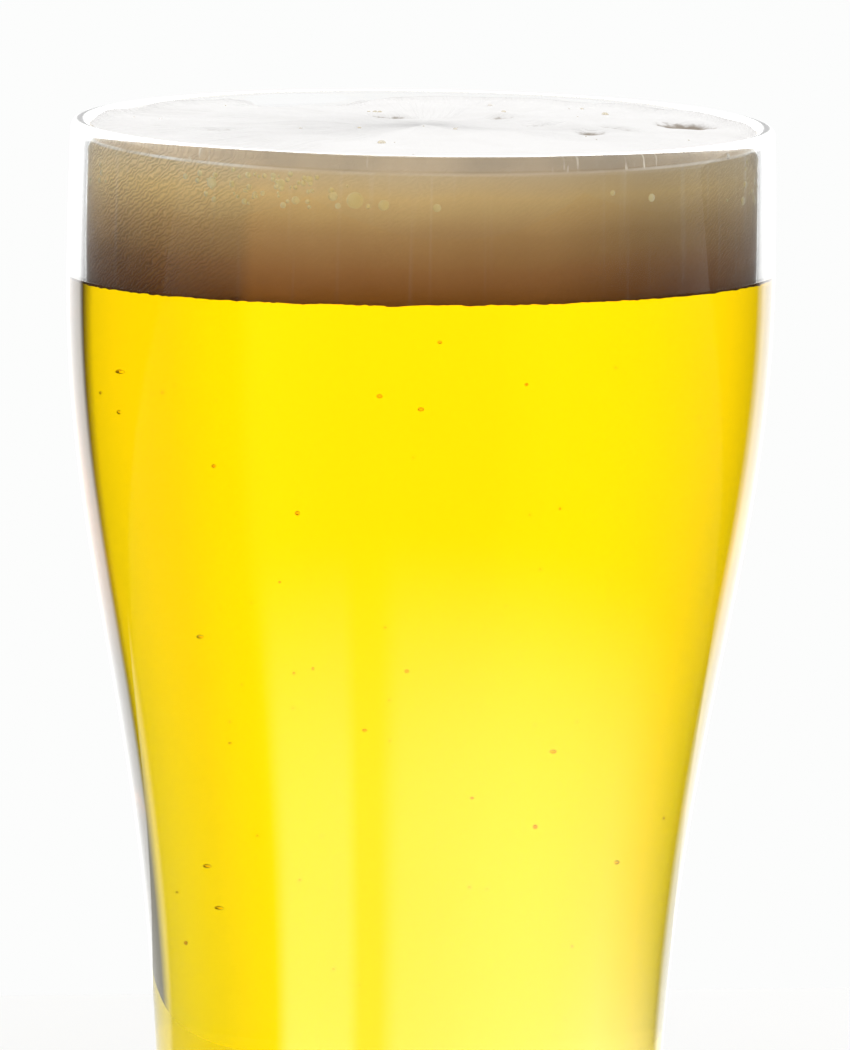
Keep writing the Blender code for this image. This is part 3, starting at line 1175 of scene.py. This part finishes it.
class PINT_OT_glass(bpy.types.Operator):
    """Turn the clear glass from its half section."""

    bl_idname = "pint.glass"
    bl_label = "Glass"

    def execute(self, context):
        settings = context.scene.pint_glass
        piece = turned_piece(
            "pint_glass",
            glass_profile(settings.steps),
            settings.segments,
            glass_material(settings),
            (0.0, 0.0, 0.0),
            35,
        )
        wetted = glass_material(settings, "wetted_pint_glass", mirrors=False)
        part_the_wall(piece.data, wetted)
        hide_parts("glass")
        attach(piece, "root")
        return {"FINISHED"}


class PINT_OT_beer(bpy.types.Operator):
    """Fill the glass with beer up to its level."""

    bl_idname = "pint.beer"
    bl_label = "Beer"

    def execute(self, context):
        glass = context.scene.pint_glass
        piece = turned_piece(
            "beer_body",
            beer_profile(glass.steps),
            glass.segments,
            beer_material(context.scene.pint_beer),
            (LEVEL_RISE_TO_RIGHT, -LEVEL_RISE_TO_FRONT, 0.0),
            50,
        )
        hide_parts("beer")
        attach(piece, "root")
        return {"FINISHED"}


class PINT_OT_beer_bubbles(bpy.types.Operator):
    """Scatter small gas bubbles through the beer."""

    bl_idname = "pint.beer_bubbles"
    bl_label = "Bubbles in the beer"

    def execute(self, context):
        settings = context.scene.pint_beer
        material = beer_bubble_material()
        values = {
            "Density": settings.bubble_density,
            "Seed": 5,
            "Lowest": 0.024,
            "Highest": LEVEL - 0.004,
            "Inmost share": 0.1,
            "Outmost share": 0.86,
            "Smallest radius": 0.00009,
            "Largest radius": settings.bubble_radius,
            "Flatness": 1.0,
            "Clustering": 0.0,
            "Material": material,
        }
        surface = bpy.data.objects["beer_body"].data.copy()
        mesh = run_tree("beer_bubbles", surface, scattering_tree(), values)
        piece = finished("beer_bubbles", mesh, material)
        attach(piece, "root")
        return {"FINISHED"}


class PINT_OT_foam(bpy.types.Operator):
    """Set the foam head on the beer."""

    bl_idname = "pint.foam"
    bl_label = "Foam head"

    def execute(self, context):
        settings = context.scene.pint_foam
        mesh = foam_mesh(settings)
        require_closed(mesh, "foam_head")
        piece = finished("foam_head", mesh, foam_material(settings))
        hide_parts("foam")
        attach(piece, "root")
        return {"FINISHED"}


class PINT_OT_foam_bubbles(bpy.types.Operator):
    """Add the larger bubbles on top of the foam and against the wall."""

    bl_idname = "pint.foam_bubbles"
    bl_label = "Bubbles in the foam"

    def execute(self, context):
        material = foam_bubble_material()
        surface = bpy.data.objects["foam_head"].data.copy()
        values = {
            "Density": 60000.0,
            "Seed": 9,
            "Lowest": HEIGHT - 0.0036,
            "Highest": HEIGHT,
            "Inmost share": 0.995,
            "Outmost share": 1.0,
            "Smallest radius": 0.00012,
            "Largest radius": 0.0006,
            "Flatness": 0.6,
            "Clustering": 0.62,
            "Material": material,
        }
        mesh = run_tree("foam_bubbles", surface, scattering_tree(), values)
        piece = finished("foam_bubbles", mesh, material)
        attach(piece, "root")
        return {"FINISHED"}


class PINT_OT_wall_bubbles(bpy.types.Operator):
    """Add the bubbles that the foam presses against the wall."""

    bl_idname = "pint.wall_bubbles"
    bl_label = "Bubbles against the wall"

    def execute(self, context):
        material = wall_bubble_material()
        values = {"Half thickness": BUBBLE_HALF_THICKNESS, "Material": material}
        mesh = run_tree("wall_bubbles", wall_bubble_places(), placing_tree(), values)
        piece = finished("wall_bubbles", mesh, material)
        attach(piece, "root")
        return {"FINISHED"}


class PINT_OT_stage(bpy.types.Operator):
    """Set the table, the soft light and the camera."""

    bl_idname = "pint.stage"
    bl_label = "Stage"

    def execute(self, context):
        settings = context.scene.pint_stage
        build_table(settings)
        build_light(context.scene, settings)
        build_camera(context.scene)
        return {"FINISHED"}


def build_table(settings):
    """Pale table under the glass that ends a little way behind it."""
    body = bmesh.new()
    bmesh.ops.create_cube(body, size=1.0)
    for corner in body.verts:
        corner.co.x *= TABLE_WIDTH
        corner.co.y = settings.table_behind if corner.co.y > 0 else -TABLE_FRONT
        corner.co.z = 0.0 if corner.co.z > 0 else -TABLE_THICKNESS
    turn = Matrix.Rotation(TABLE_TURN, 3, "Z")
    pivot = Vector((0.0, settings.table_behind, 0.0))
    for corner in body.verts:
        corner.co = turn @ (corner.co - pivot) + pivot
    bmesh.ops.bevel(body, geom=body.edges[:], offset=0.004, segments=4, affect="EDGES")
    mesh = bpy.data.meshes.new("table")
    body.to_mesh(mesh)
    body.free()
    mesh.shade_smooth()
    mesh.set_sharp_from_angle(angle=math.radians(30))
    table = finished("table", mesh, table_material(settings))


def angle_curve(tree, angle, points):
    """Level by angle in degrees, straight from point to point."""
    highest = max(level for _, level in points)
    curve = add_node(tree, "ShaderNodeFloatCurve")
    line = curve.mapping.curves[0]
    while len(line.points) < len(points):
        line.points.new(0.5, 0.5)
    for point, (degrees, level) in zip(line.points, points):
        point.location = ((degrees + 180) / 360, level / highest)
        point.handle_type = "VECTOR"
    curve.mapping.update()
    feed(tree, curve.inputs["Value"], maths(tree, "MULTIPLY_ADD", angle, 1 / 360, 0.5))
    return maths(tree, "MULTIPLY", curve.outputs[0], highest)


def degrees_around(tree, right, ahead):
    """Angle in degrees around the upright axis, from straight ahead towards the right."""
    return maths(tree, "MULTIPLY", maths(tree, "ARCTAN2", right, ahead), 180 / math.pi)


def through_beer(tree, path):
    """1 for light that has come straight through the glass and the beer."""
    far_enough = maths(tree, "GREATER_THAN", path.outputs["Transmission Depth"], 4.5)
    turns = maths(tree, "ADD", path.outputs["Diffuse Depth"], path.outputs["Glossy Depth"])
    straight = maths(tree, "LESS_THAN", turns, 0.5)
    seen_through = maths(tree, "MULTIPLY", path.outputs["Is Transmission Ray"], straight)
    return maths(tree, "MULTIPLY", seen_through, far_enough)


def build_light(scene, settings):
    """Soft light from all round, with a bright panel behind and calm, partly warm surroundings in front."""
    world = bpy.data.worlds.new("studio_light")
    scene.world = world
    world.use_nodes = True
    tree = world.node_tree
    direction = add_node(tree, "ShaderNodeTexCoord").outputs["Generated"]
    right, back, up = split(tree, direction)
    path = add_node(tree, "ShaderNodeLightPath")
    behind = degrees_around(tree, right, back)
    before = degrees_around(tree, right, maths(tree, "MULTIPLY", back, -1.0))

    overhead = spread(tree, up, 0.35, 0.8)
    soft = spread(tree, back, -1.0, 1.0, settings.soft_light * 0.85, settings.soft_light * 1.15)
    soft = maths(tree, "ADD", maths(tree, "MULTIPLY", overhead, settings.soft_light * 0.05), soft)
    level_or_higher = spread(tree, up, -0.10, 0.02)

    panel = maths(tree, "MULTIPLY", angle_curve(tree, behind, PANEL_LIGHT), settings.back_light)
    panel = mixed(tree, overhead, panel, soft)
    mirrored = maths(tree, "MULTIPLY", angle_curve(tree, before, MIRRORED_PANEL), settings.mirrored_light)
    room = vector_maths(
        tree, "SCALE", tuple(settings.warm_light), scale=angle_curve(tree, before, MIRRORED_ROOM)
    )
    mirrored = vector_maths(tree, "ADD", room, mirrored)
    mirrored = mixed(tree, level_or_higher, mirrored, maths(tree, "MULTIPLY", soft, 0.85))
    inner = maths(tree, "MULTIPLY", angle_curve(tree, behind, INNER_LIGHT), settings.clear_light)
    inner = mixed(tree, level_or_higher, inner, settings.clear_light * 0.95)
    in_beer = maths(tree, "GREATER_THAN", path.outputs["Transmission Depth"], 4.5)
    inner = mixed(tree, in_beer, inner, INNER_LIGHT_IN_BEER)

    foam_light = maths(tree, "MULTIPLY", soft, settings.foam_light)
    scattered = maths(tree, "GREATER_THAN", path.outputs["Diffuse Depth"], 0.5)
    turned_back = maths(tree, "GREATER_THAN", path.outputs["Glossy Depth"], 0.5)
    level = mixed(tree, turned_back, settings.clear_light, inner)
    level = mixed(tree, scattered, level, foam_light)
    level = mixed(tree, through_beer(tree, path), level, panel)
    light = mixed(tree, path.outputs["Is Transmission Ray"], soft, level)
    polished = maths(tree, "MULTIPLY", path.outputs["Is Glossy Ray"], path.outputs["Is Reflection Ray"])
    light = mixed(tree, polished, light, mirrored)
    background = tree.nodes["Background"]
    seen = path.outputs["Is Camera Ray"]
    feed(tree, background.inputs["Color"], mixed(tree, seen, light, (0.975, 0.98, 0.975, 1.0)))


def build_camera(scene):
    """Camera a little above the rim, with a long lens, rolled as the picture is."""
    data = bpy.data.cameras.new("picture_camera")
    data.lens = CAMERA_LENS
    data.sensor_width = 36.0
    data.clip_start = 0.05
    data.clip_end = 50.0
    camera = bpy.data.objects.new("picture_camera", data)
    scene.collection.objects.link(camera)
    tilt = Matrix.Rotation(math.pi / 2 - CAMERA_PITCH, 3, "X")
    roll = Matrix.Rotation(CAMERA_ROLL, 3, "Z")
    camera.rotation_euler = (tilt @ roll).to_euler()
    camera.location = (CAMERA_ASIDE, -CAMERA_DISTANCE, CAMERA_HEIGHT)
    scene.camera = camera
    scene.view_settings.view_transform = "Standard"
    scene.view_settings.look = "None"
    scene.cycles.max_bounces = 24
    scene.cycles.transmission_bounces = 20
    scene.cycles.transparent_max_bounces = 16


# Panel in the sidebar

class PINT_PT_panel(bpy.types.Panel):
    """Lists the settings and the steps that build the pint."""

    bl_idname = "PINT_PT_panel"
    bl_label = "Pint of Beer"
    bl_space_type = "VIEW_3D"
    bl_region_type = "UI"
    bl_category = "Pint"

    def draw(self, context):
        for group, _ in SETTINGS:
            box = self.layout.box()
            settings = getattr(context.scene, group)
            for name in settings.__annotations__:
                box.prop(settings, name)
        for step in STEPS:
            self.layout.operator(step.bl_idname)


SETTINGS = (
    ("pint_glass", PintGlassSettings),
    ("pint_beer", PintBeerSettings),
    ("pint_foam", PintFoamSettings),
    ("pint_stage", PintStageSettings),
)
STEPS = (
    PINT_OT_stage,
    PINT_OT_glass,
    PINT_OT_beer,
    PINT_OT_beer_bubbles,
    PINT_OT_foam,
    PINT_OT_foam_bubbles,
    PINT_OT_wall_bubbles,
)


def register():
    """Registers the settings, the operators and the panel."""
    for name, group in SETTINGS:
        bpy.utils.register_class(group)
        setattr(bpy.types.Scene, name, PointerProperty(type=group))
    for step in STEPS:
        bpy.utils.register_class(step)
    bpy.utils.register_class(PINT_PT_panel)


def unregister():
    """Removes what register added."""
    bpy.utils.unregister_class(PINT_PT_panel)
    for step in reversed(STEPS):
        bpy.utils.unregister_class(step)
    for name, group in reversed(SETTINGS):
        delattr(bpy.types.Scene, name)
        bpy.utils.unregister_class(group)


def main():
    """Builds the whole scene."""
    register()
    bpy.ops.pint.stage()
    bpy.ops.pint.glass()
    bpy.ops.pint.beer()
    bpy.ops.pint.beer_bubbles()
    bpy.ops.pint.foam()
    bpy.ops.pint.foam_bubbles()
    bpy.ops.pint.wall_bubbles()


if __name__ == "__main__":
    main()
